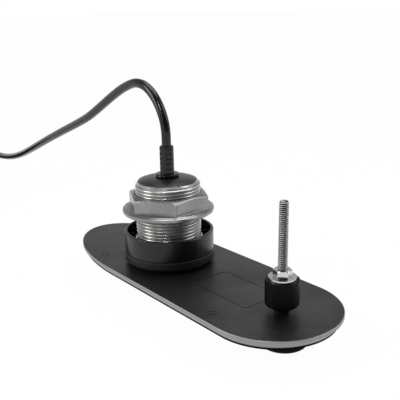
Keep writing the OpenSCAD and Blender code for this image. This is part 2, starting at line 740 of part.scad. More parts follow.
module ring(inner, outer, z, height) {
    translate([0, 0, z]) difference() {
        cylinder(r = outer, h = height);
        translate([0, 0, -1]) cylinder(r = inner, h = height + 2);
    }
}

module stud_seal() color([0.3, 0.3, 0.3]) at_stud()
    ring(stud_d/2 + stud_clear, stud_seal_d/2, recess_z, stud_seal_h + recess_depth);

// Rubber bushing on a narrower foot
module stud_bushing() color([0.05, 0.05, 0.05]) at_stud() rotate_extrude() polygon(concat(
    [[stud_d/2 + stud_clear, deck + stud_seal_h], [stud_seal_d/2, deck + stud_seal_h],
    [stud_seal_d/2, deck + bushing_foot]],
    arc([bushing_r - bushing_round, deck + bushing_foot + bushing_round], bushing_round, -90, 0),
    [[bushing_r, deck + bushing_top - bushing_bevel], [bushing_r - bushing_bevel, deck + bushing_top],
    [stud_d/2 + stud_clear, deck + bushing_top]]
));

module stud_washer() color([0.78, 0.78, 0.76]) at_stud()
    ring(stud_d/2 + stud_clear, washer_d/2, washer_z, washer_t);

// Hexagon nut with bevelled corners top and bottom
module stud_nut() color([0.75, 0.75, 0.73]) at_stud(stud_nut_z) difference() {
    bevelled_hexagon(stud_nut_af, stud_nut_h, stud_nut_turn, stud_nut_bevel);
    translate([0, 0, -1]) cylinder(r = stud_d/2 + turn_clear, h = stud_nut_h + 2);
}

top_pad();
housing_plate();
acoustic_window();
window_seal();
element_carrier();
port_element();
starboard_element();
down_element();
port_backing();
starboard_backing();
down_backing();
temperature_probe();
element_leads();
terminal_board();
stem();
stem_o_ring();
hull_gasket();
hull_spacer();
hull_nut();
stem_cap();
cap_o_ring();
strain_relief();
lead_core();
cable();
cable_coil();
coil_tie();
cable_end();
connector_boot();
connector_body();
connector_insert();
connector_pins();
connector_collar();
stud();
stud_seal();
stud_bushing();
stud_washer();
stud_nut();
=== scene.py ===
import json
import math

import bmesh
import bpy
from mathutils import Matrix, Vector


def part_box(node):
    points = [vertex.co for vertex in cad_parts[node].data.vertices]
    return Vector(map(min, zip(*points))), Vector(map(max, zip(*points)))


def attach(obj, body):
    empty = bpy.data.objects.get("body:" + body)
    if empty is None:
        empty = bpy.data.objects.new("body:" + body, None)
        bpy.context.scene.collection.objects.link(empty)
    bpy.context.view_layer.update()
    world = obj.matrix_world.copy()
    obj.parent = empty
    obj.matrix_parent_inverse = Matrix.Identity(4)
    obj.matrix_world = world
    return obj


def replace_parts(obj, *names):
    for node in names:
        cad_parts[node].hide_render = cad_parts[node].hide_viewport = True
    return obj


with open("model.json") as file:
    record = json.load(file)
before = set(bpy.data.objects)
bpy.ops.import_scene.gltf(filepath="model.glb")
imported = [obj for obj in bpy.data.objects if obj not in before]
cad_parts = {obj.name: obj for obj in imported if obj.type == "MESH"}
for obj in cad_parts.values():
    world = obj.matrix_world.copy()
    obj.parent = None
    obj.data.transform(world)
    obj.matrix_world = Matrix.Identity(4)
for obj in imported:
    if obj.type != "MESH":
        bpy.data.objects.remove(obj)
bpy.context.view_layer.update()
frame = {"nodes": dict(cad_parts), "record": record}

nodes = frame["nodes"]
scene = bpy.context.scene
MM = 0.001

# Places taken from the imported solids, in metres
STEM_LOW, STEM_HIGH = (corner.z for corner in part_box("stem"))
STEM_X = sum(corner.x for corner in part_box("stem_cap")) / 2
STUD_LOW, STUD_HIGH = (corner.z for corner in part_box("stud"))
STUD_X = sum(corner.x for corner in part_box("stud_bushing")) / 2
NUT_LOW, NUT_HIGH = (corner.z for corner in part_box("hull_nut"))
STUD_NUT_LOW, STUD_NUT_HIGH = (corner.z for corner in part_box("stud_nut"))
BOSS_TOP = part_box("housing_plate")[1].z
PAD_LOW, PAD_HIGH = (corner.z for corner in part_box("top_pad"))
GASKET_LOW, GASKET_HIGH = (corner.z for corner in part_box("hull_gasket"))
GASKET_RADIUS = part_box("hull_gasket")[1].y

# Camera, fitted to the outline of the plate in the photograph
CAMERA_AT = (0.35987, -0.27702, 0.21189)
CAMERA_AZIMUTH = math.radians(51.561)
CAMERA_ELEVATION = math.radians(16.621)
CAMERA_ROLL = math.radians(-1.015)
CAMERA_LENS = 58.17


def add_camera():
    data = bpy.data.cameras.new("camera")
    data.sensor_fit = "HORIZONTAL"
    data.sensor_width = 36.0
    data.lens = CAMERA_LENS
    data.clip_start = 0.01
    data.clip_end = 30.0
    camera = bpy.data.objects.new("camera", data)
    turn = (
        Matrix.Rotation(CAMERA_AZIMUTH, 4, "Z")
        @ Matrix.Rotation(math.pi / 2 - CAMERA_ELEVATION, 4, "X")
        @ Matrix.Rotation(CAMERA_ROLL, 4, "Z")
    )
    camera.matrix_world = Matrix.Translation(CAMERA_AT) @ turn
    scene.collection.objects.link(camera)
    scene.camera = camera


# Materials
def new_material(name):
    material = bpy.data.materials.new(name)
    material.use_nodes = True
    tree = material.node_tree
    shader = tree.nodes["Principled BSDF"]
    place = tree.nodes.new("ShaderNodeTexCoord").outputs["Object"]
    return material, tree, shader, place


def noise(tree, place, scale, detail=2.0, roughness=0.5):
    texture = tree.nodes.new("ShaderNodeTexNoise")
    texture.inputs["Scale"].default_value = scale
    texture.inputs["Detail"].default_value = detail
    texture.inputs["Roughness"].default_value = roughness
    tree.links.new(place, texture.inputs["Vector"])
    return texture.outputs["Fac"]


def remap(tree, value, low, high, start=0.3, end=0.7):
    node = tree.nodes.new("ShaderNodeMapRange")
    node.inputs["From Min"].default_value = start
    node.inputs["From Max"].default_value = end
    node.inputs["To Min"].default_value = low
    node.inputs["To Max"].default_value = high
    tree.links.new(value, node.inputs["Value"])
    return node.outputs["Result"]


def two_tone(tree, value, dark, light):
    ramp = tree.nodes.new("ShaderNodeValToRGB")
    ramp.color_ramp.elements[0].position = 0.32
    ramp.color_ramp.elements[1].position = 0.68
    ramp.color_ramp.elements[0].color = (*dark, 1.0)
    ramp.color_ramp.elements[1].color = (*light, 1.0)
    tree.links.new(value, ramp.inputs["Fac"])
    return ramp.outputs["Color"]


def bump(tree, shader, height, strength, distance):
    node = tree.nodes.new("ShaderNodeBump")
    node.inputs["Strength"].default_value = strength
    node.inputs["Distance"].default_value = distance
    tree.links.new(height, node.inputs["Height"])
    tree.links.new(node.outputs["Normal"], shader.inputs["Normal"])


def surface(
    name, colour, rough, grain, strength, depth,
    metallic=0.0, drift=0.12, patch=55.0, specular=0.5, cloud=0.0,
):
    """A moulded, cast or turned skin with a fine grain in its bump and roughness.

    The colour drifts in patches, and cloud makes the sheen drift with them.
    """
    material, tree, shader, place = new_material(name)
    shader.inputs["Metallic"].default_value = metallic
    shader.inputs["Specular IOR Level"].default_value = specular
    patches = noise(tree, place, patch, 3.0, 0.6)
    dark = tuple(c * (1.0 - drift) for c in colour)
    light = tuple(min(1.0, c * (1.0 + drift)) for c in colour)
    tree.links.new(two_tone(tree, patches, dark, light), shader.inputs["Base Color"])
    fine = noise(tree, place, grain, 3.0, 0.6)
    tree.links.new(remap(tree, fine, rough[0], rough[1]), shader.inputs["Roughness"])
    if cloud:
        level = remap(tree, patches, specular * (1.0 - cloud), specular * (1.0 + cloud))
        tree.links.new(level, shader.inputs["Specular IOR Level"])
    bump(tree, shader, fine, strength, depth)
    return material


def grey(value, warm=0.0):
    return (value * (1.0 + warm), value, value * (1.0 - warm))


def threaded(name, crest, root, rough, grain):
    """Turned metal with a thread: bright crests, and painted shade that darkens the roots, which are
    rougher too.
    """
    material, tree, shader, place = new_material(name)
    shader.inputs["Metallic"].default_value = 1.0
    groove_shade = tree.nodes.new("ShaderNodeAttribute")
    groove_shade.attribute_name = "groove_shade"
    fine = noise(tree, place, grain, 3.0, 0.6)
    blend = tree.nodes.new("ShaderNodeMath")
    blend.operation = "MULTIPLY_ADD"
    blend.inputs[1].default_value = 0.25
    tree.links.new(fine, blend.inputs[0])
    tree.links.new(groove_shade.outputs["Fac"], blend.inputs[2])
    depth = remap(tree, blend.outputs["Value"], 0.0, 1.0, 0.15, 0.95)
    # Painted shade: the colour runs from the crest tone to the darker root tone as groove_shade rises.
    ramp = tree.nodes.new("ShaderNodeValToRGB")
    ramp.color_ramp.elements[0].color = (*crest, 1.0)
    ramp.color_ramp.elements[1].color = (*root, 1.0)
    tree.links.new(depth, ramp.inputs["Fac"])
    tree.links.new(ramp.outputs["Color"], shader.inputs["Base Color"])
    worn = remap(tree, blend.outputs["Value"], rough[0], rough[1], 0.1, 1.1)
    tree.links.new(worn, shader.inputs["Roughness"])
    bump(tree, shader, fine, 0.06, 0.00003)
    return material


SKINS = {
    "pad_plastic": dict(
        colour=grey(0.004), rough=(0.32, 0.46), grain=1500.0, strength=0.25, depth=0.00006,
        drift=0.3, patch=32.0, specular=0.47, cloud=0.3,
    ),
    "housing_metal": dict(
        colour=grey(0.30), rough=(0.40, 0.52), grain=2600.0, strength=0.22, depth=0.00005,
        metallic=1.0, drift=0.05, patch=30.0,
    ),
    "window_plastic": dict(
        colour=grey(0.002), rough=(0.50, 0.62), grain=900.0, strength=0.08, depth=0.00005, specular=0.05,
    ),
    "nut_metal": dict(
        colour=grey(0.27, 0.018), rough=(0.22, 0.34), grain=1700.0, strength=0.14, depth=0.00006,
        metallic=1.0, patch=70.0,
    ),
    "nut_bright": dict(
        colour=grey(0.62, 0.012), rough=(0.12, 0.20), grain=2400.0, strength=0.05, depth=0.00003,
        metallic=1.0, drift=0.05,
    ),
    "spacer_plastic": dict(
        colour=grey(0.003), rough=(0.25, 0.31), grain=1100.0, strength=0.02, depth=0.00005,
        drift=0.1, specular=0.42,
    ),
    "cap_plastic": dict(
        colour=grey(0.003), rough=(0.28, 0.40), grain=1300.0, strength=0.12, depth=0.00005, drift=0.1,
    ),
    "seal_rubber": dict(
        colour=grey(0.006), rough=(0.40, 0.52), grain=1500.0, strength=0.18, depth=0.00006,
        drift=0.15, patch=40.0, specular=0.30,
    ),
    "bushing_rubber": dict(
        colour=grey(0.001), rough=(0.40, 0.52), grain=1500.0, strength=0.1, depth=0.00005,
        drift=0.1, patch=40.0, specular=0.12,
    ),
    "cable_jacket": dict(
        colour=grey(0.005), rough=(0.14, 0.22), grain=1900.0, strength=0.05, depth=0.00004,
        patch=60.0, specular=0.38,
    ),
    "connector_plastic": dict(
        colour=grey(0.022), rough=(0.36, 0.50), grain=1500.0, strength=0.18, depth=0.00005,
    ),
    "contact_metal": dict(
        colour=(0.74, 0.55, 0.24), rough=(0.18, 0.30), grain=2600.0, strength=0.05, depth=0.00003,
        metallic=1.0,
    ),
    "element_ceramic": dict(
        colour=(0.66, 0.63, 0.55), rough=(0.45, 0.6), grain=900.0, strength=0.1, depth=0.00005,
    ),
    "backing_cork": dict(
        colour=(0.23, 0.17, 0.11), rough=(0.7, 0.85), grain=500.0, strength=0.3, depth=0.0002,
        drift=0.4, patch=260.0,
    ),
    "carrier_plastic": dict(
        colour=(0.56, 0.53, 0.44), rough=(0.4, 0.55), grain=1200.0, strength=0.12, depth=0.00005,
    ),
    "board_laminate": dict(
        colour=(0.03, 0.19, 0.07), rough=(0.22, 0.34), grain=800.0, strength=0.08, depth=0.00005,
    ),
}
MATERIALS = {name: surface(name, **look) for name, look in SKINS.items()}
# The second tone of each threaded material is painted shade for the thread roots.
MATERIALS["stem_metal"] = threaded("stem_metal", grey(0.64, 0.014), grey(0.27, 0.02), (0.20, 0.42), 2200.0)
MATERIALS["stud_metal"] = threaded("stud_metal", grey(0.55, 0.01), grey(0.05, 0.02), (0.34, 0.46), 3200.0)


def woven():
    """Strap of a coil tie: crossing threads in the bump and in the shade."""
    material, tree, shader, place = new_material("tie_fabric")
    shader.inputs["Roughness"].default_value = 0.85
    shader.inputs["Sheen Weight"].default_value = 0.25
    height = None
    for axis in ("X", "Z"):
        wave = tree.nodes.new("ShaderNodeTexWave")
        wave.bands_direction = axis
        wave.inputs["Scale"].default_value = 420.0
        wave.inputs["Distortion"].default_value = 0.6
        tree.links.new(place, wave.inputs["Vector"])
        if height is None:
            height = wave.outputs["Fac"]
            continue
        join = tree.nodes.new("ShaderNodeMath")
        join.operation = "MULTIPLY"
        tree.links.new(height, join.inputs[0])
        tree.links.new(wave.outputs["Fac"], join.inputs[1])
        height = join.outputs["Value"]
    tree.links.new(two_tone(tree, height, grey(0.012), grey(0.045)), shader.inputs["Base Color"])
    bump(tree, shader, height, 0.5, 0.0002)
    return material


MATERIALS["tie_fabric"] = woven()


def dress(obj, material):
    obj.data.materials.clear()
    obj.data.materials.append(material)


for row in frame["record"]["subparts"]:
    dress(nodes[row["node"]], MATERIALS[row["material_slot"]])
dress(nodes["stud_bushing"], MATERIALS["bushing_rubber"])
dress(nodes["stud_washer"], MATERIALS["nut_bright"])


# Mesh helpers
def to_object(name, bm, slot, sharp=35.0):
    mesh = bpy.data.meshes.new(name)
    bmesh.ops.recalc_face_normals(bm, faces=bm.faces)
    bm.to_mesh(mesh)
    bm.free()
    mesh.shade_smooth()
    mesh.set_sharp_from_angle(angle=math.radians(sharp))
    obj = bpy.data.objects.new(name, mesh)
    scene.collection.objects.link(obj)
    dress(obj, MATERIALS[slot])
    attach(obj, "root")
    return obj


def add_ring(bm, centre_x, points):
    """A closed ring of vertices from (angle, radius, height) triples about an upright axis."""
    return [bm.verts.new((centre_x + r * math.cos(a), r * math.sin(a), z)) for a, r, z in points]


def round_ring(bm, centre_x, radius, height, count):
    return add_ring(bm, centre_x, [(2 * math.pi * k / count, radius, height) for k in range(count)])


def skin(bm, low, high):
    """Faces between two rings of the same count."""
    count = len(low)
    for k in range(count):
        j = (k + 1) % count
        bm.faces.new((low[k], low[j], high[j], high[k]))


def boundary_at(bm, height):
    """Open edges that lie at one height."""
    return [
        edge
        for edge in bm.edges
        if edge.is_boundary and all(abs(vert.co.z - height) < 1e-6 for vert in edge.verts)
    ]


# Screw thread: rows follow the helix, so the crests run true
THREAD_FORM = (0.0, 0.0, 0.16, 0.5, 0.84, 1.0, 1.0, 0.84, 0.5, 0.16)


def thread_skin(bm, centre_x, radius, depth, pitch, low, high, columns, bevel):
    steps = len(THREAD_FORM)
    groove_shade = bm.verts.layers.float.new("groove_shade")
    rows = int(math.ceil((high - low) / pitch * steps)) + 2 * steps
    start = low - pitch
    grid = []
    for i in range(rows + steps + 1):
        line = []
        for j in range(columns):
            z = start + (i / steps + j / columns - 1.0) * pitch
            r = radius - depth * THREAD_FORM[i % steps]
            r = min(r, radius - max(0.0, z - (high - bevel)))
            a = 2 * math.pi * j / columns
            vert = bm.verts.new((centre_x + r * math.cos(a), r * math.sin(a), z))
            # groove_shade is 0 at the crest and 1 at the root; the thread material paints shade into the
            # roots with it.
            vert[groove_shade] = THREAD_FORM[i % steps]
            line.append(vert)
        grid.append(line)
    for i in range(rows):
        for j in range(columns):
            corners = [(i, j), (i, j + 1), (i + 1, j + 1), (i + 1, j)]
            verts = [grid[a + steps][0] if b == columns else grid[a][b] for a, b in corners]
            bm.faces.new(verts)
    bmesh.ops.delete(bm, geom=[v for v in bm.verts if not v.link_faces], context="VERTS")
    for height, side in ((low, -1.0), (high, 1.0)):
        geom = list(bm.verts) + list(bm.edges) + list(bm.faces)
        bmesh.ops.bisect_plane(
            bm, geom=geom, dist=1e-7, plane_co=(0, 0, height), plane_no=(0, 0, side), clear_outer=True
        )


STEM_RADIUS = 25.0 * MM
STEM_PITCH = 2.54 * MM
STEM_DEPTH = 1.3 * MM
STEM_BEVEL = 2.4 * MM
STEM_BORE = 18.0 * MM
SHOULDER_RADIUS = 26.5 * MM
SHOULDER_TOP = BOSS_TOP + 7.0 * MM
SHOULDER_BEVEL = 0.7 * MM
SPIGOT_RADIUS = 21.0 * MM
STEM_COUNT = 128


def add_stem():
    bm = bmesh.new()
    thread_skin(
        bm, STEM_X, STEM_RADIUS, STEM_DEPTH, STEM_PITCH, SHOULDER_TOP, STEM_HIGH, STEM_COUNT, STEM_BEVEL
    )
    low_edge = boundary_at(bm, SHOULDER_TOP)
    high_edge = boundary_at(bm, STEM_HIGH)
    profile = (
        (SHOULDER_RADIUS - SHOULDER_BEVEL, SHOULDER_TOP),
        (SHOULDER_RADIUS - SHOULDER_BEVEL * 0.3, SHOULDER_TOP - SHOULDER_BEVEL * 0.3),
        (SHOULDER_RADIUS, SHOULDER_TOP - SHOULDER_BEVEL),
        (SHOULDER_RADIUS, BOSS_TOP),
        (SPIGOT_RADIUS, BOSS_TOP),
        (SPIGOT_RADIUS, STEM_LOW),
        (STEM_BORE, STEM_LOW),
        (STEM_BORE, STEM_HIGH),
    )
    rings = [round_ring(bm, STEM_X, r, z, STEM_COUNT) for r, z in profile]
    for k in range(len(rings) - 1):
        skin(bm, rings[k], rings[k + 1])
    first = [edge for edge in boundary_at(bm, SHOULDER_TOP) if edge not in low_edge]
    last = [edge for edge in boundary_at(bm, STEM_HIGH) if edge not in high_edge]
    bmesh.ops.bridge_loops(bm, edges=low_edge + first)
    bmesh.ops.bridge_loops(bm, edges=high_edge + last)
    obj = to_object("threaded_stem", bm, "stem_metal", 50.0)
    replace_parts(obj, "stem")


STUD_RADIUS = 3.175 * MM
STUD_PITCH = 1.27 * MM
STUD_DEPTH = 0.75 * MM
STUD_BEVEL = 0.8 * MM
STUD_HEAD_AF = 11.1 * MM
STUD_HEAD_HEIGHT = 4.0 * MM
STUD_COUNT = 36


def add_stud():
    bm = bmesh.new()
    thread_low = STUD_LOW + STUD_HEAD_HEIGHT
    thread_skin(
        bm, STUD_X, STUD_RADIUS, STUD_DEPTH, STUD_PITCH, thread_low, STUD_HIGH, STUD_COUNT, STUD_BEVEL
    )
    low_edge = boundary_at(bm, thread_low)
    tip = boundary_at(bm, STUD_HIGH)
    bmesh.ops.contextual_create(bm, geom=tip)
    corners = [(math.radians(60 * k), STUD_HEAD_AF / 2 / math.cos(math.pi / 6)) for k in range(6)]
    top = add_ring(bm, STUD_X, [(a, r, thread_low) for a, r in corners])
    low = add_ring(bm, STUD_X, [(a, r, STUD_LOW) for a, r in corners])
    skin(bm, low, top)
    bm.faces.new(low)
    head = [edge for edge in boundary_at(bm, thread_low) if edge not in low_edge]
    bmesh.ops.bridge_loops(bm, edges=low_edge + head)
    obj = to_object("threaded_stud", bm, "stud_metal", 50.0)
    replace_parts(obj, "stud")


# Hexagon nuts with rounded corners
FLAT_SHARES = (0.02, 0.25, 0.5, 0.75, 0.98)


def hexagon_ring(af, corner, turn, inset=0.0, per_corner=6):
    """(angle, radius) pairs round a hexagon whose corners carry a fillet."""
    apothem = af / 2 - inset
    fillet = max(corner - inset, 1e-5)
    reach = (apothem - fillet) / math.cos(math.pi / 6)
    tangent = math.atan((apothem - fillet) * math.tan(math.pi / 6) / apothem)
    edge = math.pi / 6 - tangent
    out = []
    for side in range(6):
        middle = turn + math.radians(60 * side)
        for k in range(per_corner + 1):
            d = -edge + 2 * edge * k / per_corner
            r = reach * math.cos(d) + math.sqrt(max(0.0, fillet**2 - (reach * math.sin(d)) ** 2))
            out.append((middle + d, r))
        for share in FLAT_SHARES:
            d = edge + 2 * tangent * share
            out.append((middle + d, apothem / math.cos(math.pi / 6 - d)))
    return out


NUT_AF = 56.0 * MM
NUT_TURN = math.radians(-26.0)
NUT_CORNER = 1.2 * MM
NUT_FLANGE = 35.2 * MM
NUT_EDGE = 3.0 * MM
NUT_STEP = 0.5 * MM
NUT_STEP_RADIUS = 33.3 * MM
NUT_ROUND = 0.5 * MM
NUT_SLOPE = 0.9 * MM
NUT_FOOT = 0.25 * MM
NUT_BORE = 25.1 * MM
NUT_CROWN = 26.1 * MM
NUT_FALL = 0.33
NUT_RISE = 0.05 * MM
NUT_STEP_SLOPE = 1.4
NUT_TOP_ROUND = 0.35 * MM
NUT_LEAD_IN = 1.0 * MM


def add_hull_nut():
    bm = bmesh.new()
    wall = hexagon_ring(NUT_AF, NUT_CORNER, NUT_TURN)
    angles = [a for a, _ in wall]

    def level(radius, z):
        return add_ring(bm, STEM_X, [(a, radius, NUT_LOW + z) for a in angles])

    def follow(inset, height_of):
        shape = hexagon_ring(NUT_AF, NUT_CORNER, NUT_TURN, inset)
        return add_ring(bm, STEM_X, [(a, r, NUT_LOW + height_of(r)) for a, r in shape])

    def crown(r):
        return NUT_HIGH - NUT_LOW - max(0.0, r - NUT_CROWN) * NUT_FALL

    height = NUT_HIGH - NUT_LOW
    foot = NUT_EDGE + NUT_STEP
    rings = [
        level(NUT_BORE + NUT_LEAD_IN, 0.0),
        level(NUT_FLANGE - NUT_ROUND, 0.0),
        level(NUT_FLANGE, NUT_ROUND),
        level(NUT_FLANGE, NUT_EDGE - NUT_ROUND),
        level(NUT_FLANGE - NUT_SLOPE, NUT_EDGE),
        level(NUT_STEP_RADIUS, NUT_EDGE + NUT_RISE),
        level(NUT_STEP_RADIUS - NUT_STEP * NUT_STEP_SLOPE, foot),
        follow(-NUT_FOOT, lambda r: foot),
        follow(0.0, lambda r: foot + NUT_FOOT),
        follow(0.0, lambda r: crown(r) - NUT_TOP_ROUND),
        follow(NUT_TOP_ROUND, crown),
        level(NUT_CROWN, height),
        level(NUT_BORE, height - NUT_LEAD_IN),
        level(NUT_BORE, NUT_LEAD_IN),
    ]
    for k in range(len(rings)):
        skin(bm, rings[k], rings[(k + 1) % len(rings)])
    obj = to_object("flanged_hull_nut", bm, "nut_metal", 20.0)
    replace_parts(obj, "hull_nut")


SMALL_NUT_AF = 11.1 * MM
SMALL_NUT_TURN = math.radians(44.0)
SMALL_NUT_CORNER = 0.15 * MM
SMALL_NUT_CLEAR = 0.05 * MM
SMALL_NUT_LEAD_IN = 0.35 * MM
SMALL_NUT_INSET = 0.2 * MM


def add_stud_nut():
    bm = bmesh.new()
    wall = hexagon_ring(SMALL_NUT_AF, SMALL_NUT_CORNER, SMALL_NUT_TURN)
    angles = [a for a, _ in wall]
    height = STUD_NUT_HIGH - STUD_NUT_LOW
    crown = SMALL_NUT_AF / 2 - SMALL_NUT_INSET
    bore = STUD_RADIUS + SMALL_NUT_CLEAR

    def level(radius, z):
        return add_ring(bm, STUD_X, [(a, radius, STUD_NUT_LOW + z) for a in angles])

    def follow(height_of):
        return add_ring(bm, STUD_X, [(a, r, STUD_NUT_LOW + height_of(r)) for a, r in wall])

    def slope(r):
        return max(0.0, r - crown) * math.tan(math.pi / 6)

    rings = [
        level(bore + SMALL_NUT_LEAD_IN, 0.0),
        level(crown, 0.0),
        follow(lambda r: slope(r) + SMALL_NUT_CLEAR),
        follow(lambda r: height - slope(r) - SMALL_NUT_CLEAR),
        level(crown, height),
        level(bore + SMALL_NUT_LEAD_IN, height),
        level(bore, height - SMALL_NUT_LEAD_IN),
        level(bore, SMALL_NUT_LEAD_IN),
    ]
    for k in range(len(rings)):
        skin(bm, rings[k], rings[(k + 1) % len(rings)])
    obj = to_object("stud_nut_bevelled", bm, "stud_metal", 30.0)
    dress(obj, MATERIALS["nut_bright"])
    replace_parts(obj, "stud_nut")


# Gasket with a rolled lip under the spacer cup
GASKET_BORE = min(math.hypot(v.co.x - STEM_X, v.co.y) for v in nodes["hull_gasket"].data.vertices)
GASKET_LIP = 0.9 * MM
GASKET_UNDERCUT = 4.0 * MM
GASKET_INSET = 3.0 * MM
GASKET_EDGE = (0.2 * MM, 0.25 * MM)
LIP_STEPS = 8


def add_gasket():
    bm = bmesh.new()
    foot = GASKET_LOW + GASKET_UNDERCUT
    profile = [
        (GASKET_BORE, GASKET_LOW),
        (GASKET_RADIUS - GASKET_INSET, GASKET_LOW),
        (GASKET_RADIUS - GASKET_EDGE[0], foot - GASKET_EDGE[1]),
        (GASKET_RADIUS, foot),
    ]
    for k in range(LIP_STEPS + 1):
        a = math.radians(90 * k / LIP_STEPS)
        r = GASKET_RADIUS - GASKET_LIP * (1 - math.cos(a))
        profile.append((r, GASKET_HIGH - GASKET_LIP * (1 - math.sin(a))))
    profile.append((GASKET_BORE, GASKET_HIGH))
    rings = [round_ring(bm, STEM_X, r, z, STEM_COUNT) for r, z in profile]
    for k in range(len(rings)):
        skin(bm, rings[k], rings[(k + 1) % len(rings)])
    obj = to_object("lipped_gasket", bm, "seal_rubber", 30.0)
    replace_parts(obj, "hull_gasket")


# Lead: the route repeats the points of the solids, then winds the coil and ends in the connector
CABLE_DIAMETER = 7.2 * MM
LEAD_ROUTE = (
    (-28.5, 0, 112.7), (-28.5, 0, 119), (-29, 0, 125), (-30.5, 0, 131), (-33, 0, 136.5),
    (-36.5, 0, 142), (-41, 0, 147), (-46.5, 0, 151.3), (-53, 0, 154.6), (-60, 0, 156.2),
    (-67.5, 0, 156.2), (-76, 0, 154.2), (-88, 0, 149.8), (-102, 0, 143.2), (-117, 0, 135.4),
    (-132, 0, 127.5), (-147, 0, 120.2), (-163, 0, 113.8), (-180, 0, 107.4), (-196, 0, 101.6),
    (-212, 0, 95.6), (-230, 0, 88.8),
    (-248, 0.4, 81.9), (-266, 1.4, 75.2), (-284, 3, 68.8), (-302, 5.1, 62.8), (-320, 7.4, 57.4),
    (-338, 9.7, 52.5), (-355, 11.8, 48.5), (-371, 13.6, 45.3), (-386, 15, 42.9), (-399, 15.8, 41.4),
    (-408, 16.1, 40.9), (-415, 16.1, 40.8),
)
END_ROUTE = (
    (-415, -100.1, 3.8), (-406, -100.1, 3.9), (-397, -100.1, 4.9), (-388, -100.1, 6.9),
    (-379, -100.1, 8.7), (-373, -100.1, 9.1), (-369, -100.1, 9.1),
)
COIL_AT = (-415.0, -42.0)
COIL_MIDDLE = 40.0
COIL_COLUMNS = 4
COIL_LAYERS = 6
COIL_LIFT = 1.2
COIL_POINTS = 40
SHIFT_ARC = 150.0
ENTRY_ARC = 60.0
EXIT_ARC = 70.0


def ease(value):
    value = min(1.0, max(0.0, value))
    return value * value * (3.0 - 2.0 * value)


def slot_of(turn):
    """Radius and height of one turn: the top layer first, each layer wound back and forth."""
    layer = turn // COIL_COLUMNS
    column = turn % COIL_COLUMNS
    if layer % 2 == 0:
        column = COIL_COLUMNS - 1 - column
    step = CABLE_DIAMETER / MM
    radius = COIL_MIDDLE + (column - (COIL_COLUMNS - 1) / 2) * step
    height = COIL_LIFT + (COIL_LAYERS - 1 - layer + 0.5) * step
    return radius, height


def coil_points():
    entry = LEAD_ROUTE[-1]
    leave = END_ROUTE[0]
    start = math.degrees(math.atan2(entry[1] - COIL_AT[1], entry[0] - COIL_AT[0]))
    stop = math.degrees(math.atan2(leave[1] - COIL_AT[1], leave[0] - COIL_AT[0])) % 360
    turns = COIL_COLUMNS * COIL_LAYERS
    total = 360.0 * (turns - 1) + (stop - start)
    entry_radius = math.hypot(entry[0] - COIL_AT[0], entry[1] - COIL_AT[1])
    leave_radius = math.hypot(leave[0] - COIL_AT[0], leave[1] - COIL_AT[1])
    count = int(total / 360.0 * COIL_POINTS)
    points = []
    for k in range(1, count):
        angle = total * k / count
        turn = min(int(angle // 360), turns - 1)
        radius, height = slot_of(turn)
        if turn < turns - 1:
            share = ease((angle - 360 * (turn + 1) + SHIFT_ARC) / SHIFT_ARC)
            radius_next, height_next = slot_of(turn + 1)
            radius += (radius_next - radius) * share
            height += (height_next - height) * share
        if angle < ENTRY_ARC:
            share = 1.0 - ease(angle / ENTRY_ARC)
            radius += (entry_radius - radius) * share
            height += (entry[2] - height) * share
        if angle > total - EXIT_ARC:
            share = ease((angle - total + EXIT_ARC) / EXIT_ARC)
            radius += (leave_radius - radius) * share
            height += (leave[2] - height) * share
        a = math.radians(start + angle)
        points.append((COIL_AT[0] + radius * math.cos(a), COIL_AT[1] + radius * math.sin(a), height))
    return points


def smooth(points, parts=4):
    """A rounder line through the same points."""
    pts = [Vector(p) for p in points]
    out = []
    for k in range(len(pts) - 1):
        p0, p1, p2, p3 = pts[max(k - 1, 0)], pts[k], pts[k + 1], pts[min(k + 2, len(pts) - 1)]
        for s in range(parts):
            t = s / parts
            out.append(
                0.5 * (2 * p1 + (p2 - p0) * t + (2 * p0 - 5 * p1 + 4 * p2 - p3) * t**2
                       + (3 * p1 - p0 - 3 * p2 + p3) * t**3)
            )
    out.append(pts[-1])
    return out


def add_lead():
    line = smooth(LEAD_ROUTE)[:-1] + [Vector(LEAD_ROUTE[-1])]
    line += [Vector(p) for p in coil_points()]
    line += smooth(END_ROUTE)
    curve = bpy.data.curves.new("lead", "CURVE")
    curve.dimensions = "3D"
    curve.bevel_depth = CABLE_DIAMETER / 2
    curve.bevel_resolution = 6
    spline = curve.splines.new("POLY")
    spline.points.add(len(line) - 1)
    for point, place in zip(spline.points, line):
        point.co = (place.x * MM, place.y * MM, place.z * MM, 1.0)
    spline.use_smooth = True
    obj = bpy.data.objects.new("lead", curve)
    scene.collection.objects.link(obj)
    dress(obj, MATERIALS["cable_jacket"])
    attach(obj, "root")
    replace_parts(obj, "cable", "cable_coil", "cable_end")
    return obj, sum((b - a).length for a, b in zip(line, line[1:])) * MM


# Plate: its far end is a long oval, and its metal edge comes up round the pad
PLATE_HALF = 47.0 * MM
PLATE_CORE = 85.0 * MM
OVAL_FROM = -45.0 * MM
OVAL_REACH = 90.0 * MM
OVAL_BLEND = (0.55, 0.25)
OVAL_CUTS = 20
OVAL_CUT_STEP = 2.0 * MM
NEAR_STEPS = 60
SIDE_STEPS = 40
FAR_STEPS = 90
POD_TOP = 15.1 * MM
POD_BOX = (115.0 * MM, 20.0 * MM)
POD_REACH = 2.6 * MM
POD_GROWS = (60.0 * MM, 30.0 * MM)
COPIED_SHADING = ("custom_normal", "sharp_edge", "sharp_face")
EDGE_OUT = 0.06 * MM
EDGE_IN = -0.3 * MM
EDGE_BEVEL = 0.28 * MM
EDGE_DROP = 0.14 * MM
EDGE_ROOT = 0.8 * MM


